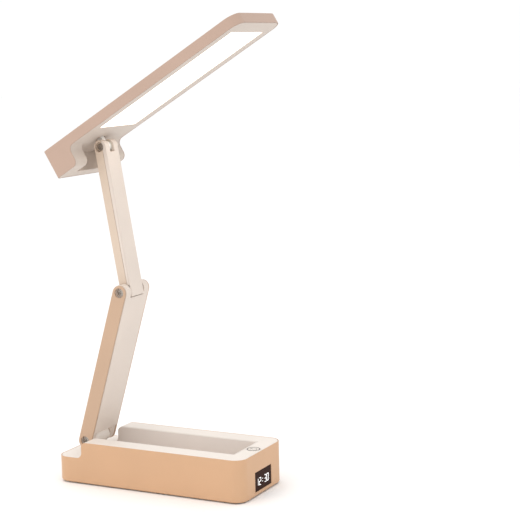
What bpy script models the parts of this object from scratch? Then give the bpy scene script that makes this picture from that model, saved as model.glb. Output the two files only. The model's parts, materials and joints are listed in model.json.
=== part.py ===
"""Folding LED desk lamp with a storage-tray base, touch key, clock display and a two-link arm.

Frame: +X from the hinge end of the base to the clock end, +Y to the far side, +Z up, metres.
The origin is the centre of the anti-slip mat's underside. The lamp is modelled half open: each
arm is built along the local X of an empty on its hinge axis, and local Z is the side that
faces up when that arm lies folded in the base.
"""
import math

import bmesh
import bpy

MM = 0.001

# Overall sizes
BASE_LENGTH = 200.0 * MM
BASE_WIDTH = 85.0 * MM
BASE_HEIGHT = 40.6 * MM
LOWER_ARM_LENGTH = 153.0 * MM
UPPER_ARM_LENGTH = 137.3 * MM
HEAD_LENGTH = 237.1 * MM

# Opening angles from the floor at rest, degrees
LOWER_ARM_ANGLE = 73.1
UPPER_ARM_ANGLE = 99.7
HEAD_ANGLE = 31.0

# Clearances between pieces
GAP = 0.3 * MM
RUNNING = 0.8 * MM
OVERCUT = 20.0 * MM

# Base
CORNER_RADIUS = 12.0 * MM
WALL = 2.4 * MM
LIP = 0.6 * MM
SKIN = 2.0 * MM
LEDGE_DROP = 15.6 * MM
LEDGE_LENGTH = 28.5 * MM
STEP_FILLET = 5.5 * MM
STEP_ROUND = 5.0 * MM
SHELL_BOTTOM = 0.8 * MM
MAT_THICKNESS = 1.2 * MM
MAT_MARGIN = 4.0 * MM
COVER_THICKNESS = 2.2 * MM
BALLAST_THICKNESS = 3.0 * MM
BALLAST_MARGIN = 3.0 * MM
BATTERY_LENGTH = 90.0 * MM
BATTERY_WIDTH = 40.0 * MM
BATTERY_HEADROOM = 3.3 * MM
BATTERY_ROUND = 1.0 * MM
MAIN_BOARD_SIZE = (24.0 * MM, 40.0 * MM, 1.6 * MM)
TRAY_DEPTH = 20.6 * MM
TRAY_WALL = 1.4 * MM
TRAY_FRONT_MARGIN = 17.0 * MM
BOSS_RADIUS = 4.5 * MM
BOSS_INSET = 7.5 * MM
BOSS_TOP = 14.0 * MM
SMALL_SCREW_RADIUS = 1.2 * MM

# Touch key, clock, socket and set buttons
KEY_RADIUS = 5.4 * MM
KEY_RING = 0.7 * MM
KEY_INSET = 9.6 * MM
TOUCH_BOARD = (12.0 * MM, 16.0 * MM, 1.2 * MM)
WINDOW_WIDTH = 33.0 * MM
WINDOW_HEIGHT = 18.6 * MM
WINDOW_BOTTOM = 4.6 * MM
WINDOW_THICKNESS = 1.4 * MM
MODULE_DEPTH = 5.0 * MM
SOCKET_WIDTH = 9.0 * MM
SOCKET_HEIGHT = 3.4 * MM
SOCKET_DEPTH = 7.5 * MM
SOCKET_LEVEL = 12.2 * MM
SOCKET_WALL = 0.5 * MM
BUTTON_RADIUS = 2.6 * MM
BUTTON_SPACING = 18.0 * MM
BUTTON_PROUD = 0.6 * MM
BUTTON_LENGTH = 4.6 * MM
BUTTON_TRAVEL = 0.8 * MM
REAR_BOARD_LENGTH = 6.4 * MM

# Hinges
HINGE_INSET = 19.5 * MM
HINGE_DROP = 4.7 * MM
PIN_RADIUS = 1.9 * MM
SCREW_HEAD_RADIUS = 3.2 * MM
SCREW_HEAD_THICKNESS = 1.1 * MM
SCREW_SHANK = 2.6 * MM
COUNTERBORE_CLEARANCE = 1.4 * MM
LOWER_SINK = 3.6 * MM
UPPER_SINK = 2.4 * MM
HEX_RADIUS = 1.6 * MM
HEX_DEPTH = 0.8 * MM
WASHER_RADIUS = 5.2 * MM
WASHER_THICKNESS = 0.5 * MM
WASHER_PLAY = 0.3 * MM

# Lower arm
LOWER_WIDTH = 43.6 * MM
ARM_RADIUS = 7.0 * MM
RAIL_THICKNESS = 1.6 * MM
CHANNEL_WALL = 1.6 * MM
CHANNEL_FLOOR = 1.6 * MM
CHANNEL_PROUD = 0.4 * MM
KNUCKLE_HALF = 12.3 * MM
EAR_LENGTH = 17.0 * MM
MIDDLE_EAR_LENGTH = 11.0 * MM
TONGUE_SHADOW = 1.1 * MM
FLOOR_START = 9.8 * MM
LEAD_RADIUS = 0.6 * MM

# Upper arm
UPPER_WIDTH = 21.4 * MM
UPPER_FRONT = 7.26 * MM
UPPER_REAR = 5.24 * MM
UPPER_WALL = 1.8 * MM
UPPER_SPLIT = 3.1 * MM
UPPER_SKIN = 1.5 * MM
TONGUE = 5.5 * MM
FORK_DEPTH = 5.8 * MM
FORK_WEB = 2.5 * MM
LUG_HALF = 2.6 * MM

# Head
HEAD_REAR = 36.7 * MM
HEAD_TOP = 18.6 * MM
HEAD_THICKNESS = 9.9 * MM
BLOCK_DEPTH = 28.4 * MM
BLOCK_LENGTH = 27.0 * MM
BLOCK_ROUND = 6.0 * MM
HEAD_CORNER = 12.0 * MM
HEAD_REAR_CORNER = 3.0 * MM
HEAD_WALL = 2.2 * MM
POCKET_WALL = 1.6 * MM
POCKET_REAR = 10.5 * MM
PANEL_START = 59.0 * MM
PANEL_MARGIN = 16.5 * MM
PANEL_SIDE_MARGIN = 12.0 * MM
DIFFUSER_THICKNESS = 1.4 * MM
GUIDE_THICKNESS = 2.0 * MM
GUIDE_MARGIN = 2.2 * MM
REFLECTOR_THICKNESS = 0.5 * MM
STRIP_WIDTH = 1.6 * MM
LUG_WEB = 2.5 * MM
LUG_FOOT = (24.0 * MM, 18.0 * MM, 1.8 * MM)
LUG_SCREW_OFFSET = 9.0 * MM

# Worked out from the sizes above
REAR_X = -BASE_LENGTH / 2
FRONT_X = BASE_LENGTH / 2
STEP_X = REAR_X + LEDGE_LENGTH
LEDGE_HEIGHT = BASE_HEIGHT - LEDGE_DROP
HINGE_X = REAR_X + HINGE_INSET
HINGE_HEIGHT = BASE_HEIGHT - HINGE_DROP
TRAY_FLOOR = BASE_HEIGHT - TRAY_DEPTH
TRAY_HALF = LOWER_WIDTH / 2 + RUNNING + TRAY_WALL
TRAY_FRONT = FRONT_X - TRAY_FRONT_MARGIN
TRAY_REAR = STEP_X - STEP_FILLET
COVER_BOTTOM = MAT_THICKNESS + GAP
COVER_TOP = COVER_BOTTOM + COVER_THICKNESS
BALLAST_BOTTOM = COVER_TOP + GAP
BALLAST_TOP = BALLAST_BOTTOM + BALLAST_THICKNESS
PIN_HOLE = PIN_RADIUS + GAP
COUNTERBORE_RADIUS = SCREW_HEAD_RADIUS + COUNTERBORE_CLEARANCE
EAR_INNER = KNUCKLE_HALF + WASHER_THICKNESS + 2 * WASHER_PLAY
RAIL_INNER = LOWER_WIDTH / 2 - RAIL_THICKNESS
CHANNEL_OUTER = RAIL_INNER - GAP
CHANNEL_INNER = CHANNEL_OUTER - CHANNEL_WALL
CHANNEL_BOTTOM = ARM_RADIUS + CHANNEL_PROUD
CHANNEL_INSIDE = CHANNEL_FLOOR - CHANNEL_BOTTOM
MIDDLE_EAR_INNER = UPPER_WIDTH / 2 + WASHER_THICKNESS + 2 * WASHER_PLAY
FORK_INNER = LUG_HALF + WASHER_THICKNESS + 2 * WASHER_PLAY
LUG_RADIUS = UPPER_REAR - GAP
UNDERSIDE = HEAD_TOP - HEAD_THICKNESS
BLOCK_BOTTOM = HEAD_TOP - BLOCK_DEPTH
BLOCK_FRONT = BLOCK_LENGTH - HEAD_REAR
TIP_X = HEAD_LENGTH - HEAD_REAR
PANEL_REAR_X = PANEL_START - HEAD_REAR
PANEL_FRONT_X = TIP_X - PANEL_MARGIN
PANEL_HALF = BASE_WIDTH / 2 - PANEL_SIDE_MARGIN
POCKET_HALF = LOWER_WIDTH / 2 + RUNNING

ROUND_SEGMENTS = 32
SCREW_SEGMENTS = 20
SMALL_SCREW_SEGMENTS = 16
LEAD_SEGMENTS = 10
HEX_SIDES = 6
ARC_SEGMENTS = 8
ARM_ARC_SEGMENTS = 16
FORK_ARC_SEGMENTS = 12
SMOOTH_ANGLE = 40


# ---------------------------------------------------------------- helpers

def clear_scene():
    for item in list(bpy.data.objects):
        bpy.data.objects.remove(item, do_unlink=True)


def material(name, colour, roughness, metallic=0.0, emission=0.0):
    finish = bpy.data.materials.new(name)
    finish.use_nodes = True
    shader = finish.node_tree.nodes["Principled BSDF"]
    shader.inputs["Base Color"].default_value = (*colour, 1.0)
    shader.inputs["Roughness"].default_value = roughness
    shader.inputs["Metallic"].default_value = metallic
    shader.inputs["Emission Color"].default_value = (*colour, 1.0)
    shader.inputs["Emission Strength"].default_value = emission
    finish.diffuse_color = (*colour, 1.0)
    return finish


def place(name, mesh, finish, parent=None):
    item = bpy.data.objects.new(name, mesh)
    bpy.context.scene.collection.objects.link(item)
    item.parent = parent
    if finish is not None:
        mesh.materials.append(finish)
    return item


def hinge_empty(name, location, turn_degrees, parent=None):
    """An empty on a hinge axis; a positive turn lifts local +X towards local +Z."""
    axis = bpy.data.objects.new(name, None)
    bpy.context.scene.collection.objects.link(axis)
    axis.parent = parent
    axis.location = location
    axis.rotation_euler = (0.0, -math.radians(turn_degrees), 0.0)
    return axis


def arc(centre, radius, start, end, segments=ARC_SEGMENTS):
    points = []
    for step in range(segments + 1):
        angle = math.radians(start + (end - start) * step / segments)
        points.append((centre[0] + radius * math.cos(angle), centre[1] + radius * math.sin(angle)))
    return points


PLANES = {
    "XY": lambda a, b, depth: (a, b, depth),
    "XZ": lambda a, b, depth: (a, depth, b),
    "YZ": lambda a, b, depth: (depth, a, b),
}


def prism(name, outline, span, plane, finish=None, parent=None):
    """A closed solid: an outline in one plane, extruded along the third axis."""
    mesh = bpy.data.meshes.new(name)
    shape = bmesh.new()
    point = PLANES[plane]
    low, high = span
    corners = [shape.verts.new(point(a, b, low)) for a, b in outline]
    face = shape.faces.new(corners)
    top = bmesh.ops.extrude_face_region(shape, geom=[face])
    moved = [v for v in top["geom"] if isinstance(v, bmesh.types.BMVert)]
    offset = [end - start for start, end in zip(point(0.0, 0.0, low), point(0.0, 0.0, high))]
    bmesh.ops.translate(shape, verts=moved, vec=offset)
    bmesh.ops.recalc_face_normals(shape, faces=shape.faces)
    shape.to_mesh(mesh)
    shape.free()
    return place(name, mesh, finish, parent)


def box(name, x_span, y_span, z_span, finish=None, parent=None):
    (x0, x1), (y0, y1) = x_span, y_span
    outline = [(x0, y0), (x1, y0), (x1, y1), (x0, y1)]
    return prism(name, outline, z_span, "XY", finish, parent)


def rounded_rectangle(x_span, y_span, radius, rear_radius=None):
    """A plan with round corners; rear_radius is for the two corners at the low X end."""
    (x0, x1), (y0, y1) = x_span, y_span
    rear = radius if rear_radius is None else rear_radius
    outline = arc((x1 - radius, y1 - radius), radius, 0, 90)
    outline += arc((x0 + rear, y1 - rear), rear, 90, 180)
    outline += arc((x0 + rear, y0 + rear), rear, 180, 270)
    outline += arc((x1 - radius, y0 + radius), radius, 270, 360)
    return outline


def turned(name, stations, axis, centre, finish=None, parent=None, segments=ROUND_SEGMENTS):
    """A solid of revolution: (place along the axis, radius) stations, from low to high."""
    mesh = bpy.data.meshes.new(name)
    shape = bmesh.new()
    rings = []
    for along, radius in stations:
        ring = []
        for step in range(segments):
            angle = 2 * math.pi * step / segments
            spot = [radius * math.cos(angle), radius * math.sin(angle)]
            spot.insert(axis, along)
            ring.append(shape.verts.new([spot[i] + centre[i] for i in range(3)]))
        rings.append(ring)
    for lower, upper in zip(rings, rings[1:]):
        for step in range(segments):
            nxt = (step + 1) % segments
            shape.faces.new((lower[step], lower[nxt], upper[nxt], upper[step]))
    shape.faces.new(rings[0])
    shape.faces.new(rings[-1])
    bmesh.ops.recalc_face_normals(shape, faces=shape.faces)
    shape.to_mesh(mesh)
    shape.free()
    mesh.shade_smooth()
    mesh.set_sharp_from_angle(angle=math.radians(SMOOTH_ANGLE))
    return place(name, mesh, finish, parent)


def as_tool(item):
    item.hide_render = True
    item.display_type = "WIRE"
    return item


def combine(target, tool, operation="DIFFERENCE"):
    as_tool(tool)
    modifier = target.modifiers.new(operation.title(), "BOOLEAN")
    modifier.operation = operation
    modifier.object = tool
    modifier.solver = "EXACT"
    return target


def drill(target, axis, centre, radius, span, parent=None):
    """A round hole along an axis through centre, between two places on that axis."""
    stations = [(span[0], radius), (span[1], radius)]
    tool = turned(target.name + "_drill", stations, axis, centre, None, parent)
    return combine(target, tool)


def hollow(target, x_span, y_span, z_span, parent=None):
    return combine(target, box(target.name + "_hollow", x_span, y_span, z_span, None, parent))


AXIS_X, AXIS_Y, AXIS_Z = 0, 1, 2


# ---------------------------------------------------------------- base

def step_line(inset):
    """The base's top line from rear to front: ledge, S-shaped step and rim, moved inwards."""
    ledge = [(REAR_X - OVERCUT, LEDGE_HEIGHT - inset)]
    fillet_centre = (STEP_X - STEP_FILLET, LEDGE_HEIGHT + STEP_FILLET)
    round_centre = (STEP_X + STEP_ROUND, BASE_HEIGHT - STEP_ROUND)
    fillet = arc(fillet_centre, STEP_FILLET + inset, -90, 0)
    crown = arc(round_centre, STEP_ROUND - inset, 180, 90)
    return ledge + fillet + crown + [(FRONT_X + OVERCUT, BASE_HEIGHT - inset)]


def under_step(inset, bottom):
    return step_line(inset) + [(FRONT_X + OVERCUT, bottom), (REAR_X - OVERCUT, bottom)]


def above_step(inset):
    top = BASE_HEIGHT + OVERCUT
    return step_line(inset) + [(FRONT_X + OVERCUT, top), (REAR_X - OVERCUT, top)]


def base_plan(inset):
    half = BASE_WIDTH / 2 - inset
    return rounded_rectangle((REAR_X + inset, FRONT_X - inset), (-half, half), CORNER_RADIUS - inset)


def base_shell(finish):
    shell = prism("base_shell", base_plan(0.0), (SHELL_BOTTOM, BASE_HEIGHT + OVERCUT), "XY", finish)
    across = (-BASE_WIDTH, BASE_WIDTH)
    combine(shell, prism("base_shell_trim", above_step(0.0), across, "XZ"))
    combine(shell, prism("base_shell_cavity", base_plan(WALL), (-OVERCUT, BASE_HEIGHT + OVERCUT), "XY"))
    rebate = prism("base_shell_rebate", above_step(SKIN + GAP), across, "XZ")
    plan = prism("base_shell_rebate_plan", base_plan(LIP), (0.0, BASE_HEIGHT + 2 * OVERCUT), "XY")
    combine(rebate, plan, "INTERSECT")
    combine(shell, rebate)
    for x, y in boss_places():
        stations = [(COVER_TOP + GAP, BOSS_RADIUS), (BOSS_TOP, BOSS_RADIUS)]
        combine(shell, turned("base_shell_boss", stations, AXIS_Z, (x, y, 0.0)), "UNION")
        drill(shell, AXIS_Z, (x, y, 0.0), SMALL_SCREW_RADIUS + GAP, (0.0, BOSS_TOP - GAP))
    half = WINDOW_WIDTH / 2
    rows = (WINDOW_BOTTOM, WINDOW_BOTTOM + WINDOW_HEIGHT)
    hollow(shell, (FRONT_X - OVERCUT, FRONT_X + OVERCUT), (-half, half), rows)
    half = SOCKET_WIDTH / 2 + GAP
    half_height = SOCKET_HEIGHT / 2 + GAP
    rows = (SOCKET_LEVEL - half_height, SOCKET_LEVEL + half_height)
    hollow(shell, (REAR_X - OVERCUT, REAR_X + OVERCUT), (-half, half), rows)
    for side in (-1, 1):
        spot = (0.0, side * BUTTON_SPACING, SOCKET_LEVEL)
        drill(shell, AXIS_X, spot, BUTTON_RADIUS + GAP, (REAR_X - OVERCUT / 2, REAR_X + OVERCUT / 4))
    return shell


def boss_places():
    along = BASE_LENGTH / 2 - BOSS_INSET
    across = BASE_WIDTH / 2 - BOSS_INSET
    return [(x, y) for x in (-along, along) for y in (-across, across)]


def key_place():
    return (FRONT_X - KEY_INSET, 0.0, 0.0)


def base_top_frame(finish):
    frame = prism("base_top_frame", base_plan(LIP + GAP), (0.0, BASE_HEIGHT + OVERCUT), "XY", finish)
    across = (-BASE_WIDTH, BASE_WIDTH)
    combine(frame, prism("base_top_frame_trim", above_step(0.0), across, "XZ"))
    combine(frame, prism("base_top_frame_under", under_step(SKIN, -OVERCUT), across, "XZ"))
    opening = TRAY_HALF + GAP
    hollow(frame, (TRAY_REAR - GAP, TRAY_FRONT + GAP), (-opening, opening), (0.0, BASE_HEIGHT + OVERCUT))
    slot = KNUCKLE_HALF + GAP
    hollow(frame, (post_rear() - GAP, TRAY_REAR), (-slot, slot), (0.0, BASE_HEIGHT))
    drill(frame, AXIS_Z, key_place(), KEY_RADIUS + KEY_RING + GAP, (LEDGE_HEIGHT, BASE_HEIGHT + OVERCUT))
    return frame


def storage_tray(finish):
    outer = (-TRAY_HALF, TRAY_HALF)
    inner = (-TRAY_HALF + TRAY_WALL, TRAY_HALF - TRAY_WALL)
    floor = (TRAY_FLOOR - TRAY_WALL, TRAY_FLOOR)
    rows = (floor[0], BASE_HEIGHT - GAP)
    tray = box("storage_tray", (TRAY_REAR, TRAY_FRONT), outer, rows, finish)
    run = (TRAY_REAR + TRAY_WALL, TRAY_FRONT - TRAY_WALL)
    hollow(tray, run, inner, (floor[1], BASE_HEIGHT + OVERCUT))
    combine(tray, prism("storage_tray_trim", above_step(GAP), (-BASE_WIDTH, BASE_WIDTH), "XZ"))
    rear_top = LEDGE_HEIGHT - SKIN
    run = (TRAY_REAR - OVERCUT, TRAY_REAR + TRAY_WALL + GAP)
    hollow(tray, run, inner, (rear_top, BASE_HEIGHT + OVERCUT))
    return tray


def post_rear():
    return HINGE_X - ARM_RADIUS - GAP


def post_front():
    return TRAY_REAR - GAP


def base_hinge_knuckle(finish):
    """The post that carries the lower arm, screwed to the ballast plate."""
    foot = BALLAST_TOP + GAP
    radius = ARM_RADIUS - GAP
    start = -math.degrees(math.acos((post_front() - HINGE_X) / radius))
    outline = [(post_front(), foot)]
    outline += arc((HINGE_X, HINGE_HEIGHT), radius, start, 180, ARM_ARC_SEGMENTS)
    outline += [(post_rear(), LEDGE_HEIGHT), (post_rear(), foot)]
    knuckle = prism("base_hinge_knuckle", outline, (-KNUCKLE_HALF, KNUCKLE_HALF), "XZ", finish)
    drill(knuckle, AXIS_Y, (HINGE_X, 0.0, HINGE_HEIGHT), PIN_HOLE, (-OVERCUT, OVERCUT))
    for x, y in post_screw_places():
        drill(knuckle, AXIS_Z, (x, y, 0.0), SMALL_SCREW_RADIUS + GAP, (0.0, BOSS_TOP + GAP))
    return knuckle


def post_screw_places():
    middle = (post_front() + post_rear()) / 2
    return [(middle, -KNUCKLE_HALF / 2), (middle, KNUCKLE_HALF / 2)]


def base_bottom_cover(finish):
    cover = prism("base_bottom_cover", base_plan(WALL + GAP), (COVER_BOTTOM, COVER_TOP), "XY", finish)
    sink = COVER_BOTTOM + SCREW_HEAD_THICKNESS + GAP
    for x, y in boss_places() + post_screw_places():
        drill(cover, AXIS_Z, (x, y, 0.0), SMALL_SCREW_RADIUS + GAP, (0.0, BASE_HEIGHT))
        drill(cover, AXIS_Z, (x, y, 0.0), SCREW_HEAD_RADIUS - GAP, (0.0, sink))
    return cover


def ballast_plate(finish):
    """The steel plate between the four bosses: it keeps the open lamp from tipping over."""
    half = BASE_WIDTH / 2 - BOSS_INSET - BOSS_RADIUS - RUNNING
    half_length = BASE_LENGTH / 2 - BOSS_INSET - BOSS_RADIUS - BALLAST_MARGIN
    outline = rounded_rectangle((-half_length, half_length), (-half, half), STEP_ROUND)
    plate = prism("ballast_plate", outline, (BALLAST_BOTTOM, BALLAST_TOP), "XY", finish)
    for x, y in post_screw_places():
        drill(plate, AXIS_Z, (x, y, 0.0), SMALL_SCREW_RADIUS + GAP, (0.0, BASE_HEIGHT))
    return plate


def bottom_screw(name, x, y, finish):
    """A countersunk machine screw driven up through the bottom cover."""
    head = COVER_BOTTOM + SCREW_HEAD_THICKNESS
    radius = SCREW_HEAD_RADIUS - 2 * GAP
    stations = [(COVER_BOTTOM, radius), (head, radius), (head, SMALL_SCREW_RADIUS)]
    stations.append((BOSS_TOP - 2 * GAP, SMALL_SCREW_RADIUS))
    return turned(name, stations, AXIS_Z, (x, y, 0.0), finish, segments=SMALL_SCREW_SEGMENTS)


def base_inside(finishes):
    """Battery, boards and the display module between the cover and the tray."""
    level = BALLAST_TOP + GAP
    battery_x = (-BATTERY_LENGTH / 2, BATTERY_LENGTH / 2)
    half = BATTERY_WIDTH / 2
    rows = (level, TRAY_FLOOR - TRAY_WALL - BATTERY_HEADROOM)
    battery = box("battery_pack", battery_x, (-half, half), rows, finishes["battery"])
    bevel(battery, BATTERY_ROUND)
    length, width, height = MAIN_BOARD_SIZE
    start = battery_x[1] + STEP_ROUND
    half = width / 2
    box("main_board", (start, start + length), (-half, half), (level, level + height), finishes["board"])
    length, width, height = TOUCH_BOARD
    top = BASE_HEIGHT - SKIN - GAP
    x = key_place()[0]
    x_span = (x - length / 2, x + length / 2)
    half = width / 2
    box("touch_board", x_span, (-half, half), (top - height, top), finishes["board"])
    half = WINDOW_WIDTH / 2 + WALL
    back = FRONT_X - WALL - GAP
    rows = (COVER_TOP + GAP, WINDOW_BOTTOM + WINDOW_HEIGHT + LIP)
    box("clock_module", (back - MODULE_DEPTH, back), (-half, half), rows, finishes["display"])


def touch_key(finish, ring_finish):
    spot = key_place()
    top = BASE_HEIGHT
    level = top - SKIN
    stations = [(level, KEY_RADIUS), (top - GAP, KEY_RADIUS), (top, KEY_RADIUS - GAP)]
    turned("touch_key", stations, AXIS_Z, spot, finish)
    outer = KEY_RADIUS + KEY_RING
    stations = [(level, outer), (top + GAP / 2, outer)]
    ring = turned("touch_key_ring", stations, AXIS_Z, spot, ring_finish)
    drill(ring, AXIS_Z, spot, KEY_RADIUS + GAP / 2, (0.0, BASE_HEIGHT + OVERCUT))


def clock_window(finish):
    half = WINDOW_WIDTH / 2 - GAP
    rows = (WINDOW_BOTTOM + GAP, WINDOW_BOTTOM + WINDOW_HEIGHT - GAP)
    face = FRONT_X - GAP
    return box("clock_window", (face - WINDOW_THICKNESS, face), (-half, half), rows, finish)


def usb_socket(finish):
    half = SOCKET_WIDTH / 2
    rows = (SOCKET_LEVEL - SOCKET_HEIGHT / 2, SOCKET_LEVEL + SOCKET_HEIGHT / 2)
    face = REAR_X + GAP
    socket = box("usb_socket", (face, face + SOCKET_DEPTH), (-half, half), rows, finish)
    inner = half - SOCKET_WALL
    inner_rows = (rows[0] + SOCKET_WALL, rows[1] - SOCKET_WALL)
    hollow(socket, (face - OVERCUT, face + SOCKET_DEPTH - SOCKET_WALL), (-inner, inner), inner_rows)
    return socket


def rear_board(finish):
    """The small board behind the rear wall: it carries the socket and two tact switches."""
    top = SOCKET_LEVEL - SOCKET_HEIGHT / 2 - GAP
    face = REAR_X - BUTTON_PROUD + BUTTON_LENGTH + BUTTON_TRAVEL + GAP
    half = BUTTON_SPACING + 2 * BUTTON_RADIUS
    board = box("rear_board", (face, face + REAR_BOARD_LENGTH), (-half, half), (top - SKIN, top), finish)
    for side in (-1, 1):
        y = side * BUTTON_SPACING
        rows = (top - SKIN / 2, SOCKET_LEVEL + SOCKET_HEIGHT / 2)
        y_span = (y - BUTTON_RADIUS, y + BUTTON_RADIUS)
        switch = box("rear_board_switch", (face, face + SKIN), y_span, rows)
        combine(board, switch, "UNION")
    return board


def set_button(name, side, finish):
    spot = (REAR_X, side * BUTTON_SPACING, SOCKET_LEVEL)
    stations = [(-BUTTON_PROUD, BUTTON_RADIUS - GAP), (-BUTTON_PROUD + GAP, BUTTON_RADIUS)]
    stations.append((BUTTON_LENGTH - BUTTON_PROUD, BUTTON_RADIUS))
    button = turned(name, stations, AXIS_X, (0.0, 0.0, 0.0), finish, segments=SCREW_SEGMENTS)
    button.location = spot
    return button


def anti_slip_mat(finish):
    return prism("anti_slip_mat", base_plan(MAT_MARGIN), (0.0, MAT_THICKNESS), "XY", finish)


def bevel(item, width, segments=2):
    modifier = item.modifiers.new("Bevel", "BEVEL")
    modifier.width = width
    modifier.segments = segments
    modifier.limit_method = "ANGLE"
    return item


# ---------------------------------------------------------------- hinges

def mirrored(stations, side):
    """Stations given from the middle outwards, as they run from low to high on one side."""
    if side > 0:
        return stations
    return [(-along, radius) for along, radius in reversed(stations)]


def hinge_hardware(name, along, parent, outer, sink, washer_at, finish, washer_finish):
    """One pin, two socket screws sunk below the outer faces and two friction washers."""
    spot = (along, 0.0, 0.0)
    head_top = outer - sink
    head_under = head_top - SCREW_HEAD_THICKNESS
    tip = head_under - SCREW_SHANK
    pin_end = tip - GAP
    pin = [(-pin_end, PIN_RADIUS), (pin_end, PIN_RADIUS)]
    turned(name + "_pin", pin, AXIS_Y, spot, finish, parent, SCREW_SEGMENTS)
    for side, word in ((-1, "near"), (1, "far")):
        stations = [(tip, PIN_RADIUS), (head_under, PIN_RADIUS)]
        stations += [(head_under, SCREW_HEAD_RADIUS), (head_top, SCREW_HEAD_RADIUS)]
        stations = mirrored(stations, side)
        screw = turned(name + "_screw_" + word, stations, AXIS_Y, spot, finish, parent, SCREW_SEGMENTS)
        stations = mirrored([(head_top - HEX_DEPTH, HEX_RADIUS), (outer, HEX_RADIUS)], side)
        combine(screw, turned("screw_socket", stations, AXIS_Y, spot, None, parent, HEX_SIDES))
        stations = [(washer_at, WASHER_RADIUS), (washer_at + WASHER_THICKNESS, WASHER_RADIUS)]
        stations = mirrored(stations, side)
        washer = turned(name + "_washer_" + word, stations, AXIS_Y, spot, washer_finish, parent)
        drill(washer, AXIS_Y, spot, PIN_HOLE, (-OVERCUT, OVERCUT), parent)


def hinge_holes(item, along, parent, outer, sink):
    """The pin's hole right through, and a counterbore for the screw head on each outer face."""
    spot = (along, 0.0, 0.0)
    drill(item, AXIS_Y, spot, PIN_HOLE, (-2 * OVERCUT, 2 * OVERCUT), parent)
    floor = outer - sink - SCREW_HEAD_THICKNESS - GAP
    for side in (-1, 1):
        span = sorted((side * floor, side * (outer + OVERCUT)))
        drill(item, AXIS_Y, spot, COUNTERBORE_RADIUS, span, parent)


# ---------------------------------------------------------------- lower arm

def lower_arm_rail(name, side, finish, axis):
    """A peach side plate with round ends; the hinge screws sit in holes right through it."""
    outline = arc((LOWER_ARM_LENGTH, 0.0), ARM_RADIUS, -90, 90, ARM_ARC_SEGMENTS)
    outline += arc((0.0, 0.0), ARM_RADIUS, 90, 270, ARM_ARC_SEGMENTS)
    span = sorted((side * RAIL_INNER, side * LOWER_WIDTH / 2))
    rail = prism(name, outline, span, "XZ", finish, axis)
    for along in (0.0, LOWER_ARM_LENGTH):
        through = (-LOWER_WIDTH, LOWER_WIDTH)
        drill(rail, AXIS_Y, (along, 0.0, 0.0), COUNTERBORE_RADIUS, through, axis)
    return rail


def lower_arm_channel(finish, axis):
    """The pale U-shaped channel: broad face, inner walls and the hinge ears at both ends."""
    top = ARM_RADIUS - 2 * GAP
    rise = math.degrees(math.asin(top / CHANNEL_BOTTOM))
    outline = [(FLOOR_START, -top), (FLOOR_START, -CHANNEL_BOTTOM)]
    outline += arc((LOWER_ARM_LENGTH, 0.0), CHANNEL_BOTTOM, -90, 180 - rise, ARM_ARC_SEGMENTS)
    outline += arc((0.0, 0.0), top, 90, 270, ARM_ARC_SEGMENTS)
    channel = prism("lower_arm_channel", outline, (-CHANNEL_OUTER, CHANNEL_OUTER), "XZ", finish, axis)
    wide_end = LOWER_ARM_LENGTH - MIDDLE_EAR_LENGTH
    far_end = LOWER_ARM_LENGTH + OVERCUT
    far_side = [(-OVERCUT, EAR_INNER), (EAR_LENGTH, EAR_INNER), (EAR_LENGTH, CHANNEL_INNER)]
    far_side += [(wide_end, CHANNEL_INNER), (wide_end, MIDDLE_EAR_INNER), (far_end, MIDDLE_EAR_INNER)]
    plan = far_side + [(x, -y) for x, y in reversed(far_side)]
    rows = (CHANNEL_INSIDE, top + OVERCUT)
    combine(channel, prism("lower_arm_channel_inside", plan, rows, "XY", None, axis))
    through = (-CHANNEL_BOTTOM - OVERCUT, top + 2 * OVERCUT)
    hollow(channel, (-2 * OVERCUT, FLOOR_START), (-EAR_INNER, EAR_INNER), through, axis)
    lip_end = LOWER_ARM_LENGTH - tongue_reach() - TONGUE_SHADOW
    between = (-MIDDLE_EAR_INNER, MIDDLE_EAR_INNER)
    hollow(channel, (lip_end, far_end + OVERCUT), between, through, axis)
    for along in (0.0, LOWER_ARM_LENGTH):
        hinge_holes(channel, along, axis, LOWER_WIDTH / 2, LOWER_SINK)
    return channel


def tongue_reach():
    """How far below the middle hinge the upper arm's tongue ends, along the lower arm."""
    bend = math.radians(UPPER_ARM_ANGLE - LOWER_ARM_ANGLE)
    inner = UPPER_FRONT - UPPER_SKIN
    return TONGUE * math.cos(bend) - inner * math.sin(bend)


def lead(name, x_span, y, z, finish, axis):
    """A thin two-core lead, clipped inside an arm."""
    stations = [(x_span[0], LEAD_RADIUS), (x_span[1], LEAD_RADIUS)]
    return turned(name, stations, AXIS_X, (0.0, y, z), finish, axis, LEAD_SEGMENTS)


# ---------------------------------------------------------------- upper arm

def fork_round():
    return (UPPER_FRONT + UPPER_REAR) / 2


def fork_centre():
    return (UPPER_ARM_LENGTH, (UPPER_REAR - UPPER_FRONT) / 2)


def split_angle(level):
    return math.degrees(math.asin((level - fork_centre()[1]) / fork_round()))


def fork_slot(item, axis):
    reach = (UPPER_ARM_LENGTH - FORK_DEPTH, UPPER_ARM_LENGTH + OVERCUT)
    hollow(item, reach, (-FORK_INNER, FORK_INNER), (-OVERCUT, OVERCUT), axis)
    hinge_holes(item, UPPER_ARM_LENGTH, axis, UPPER_WIDTH / 2, UPPER_SINK)


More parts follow.
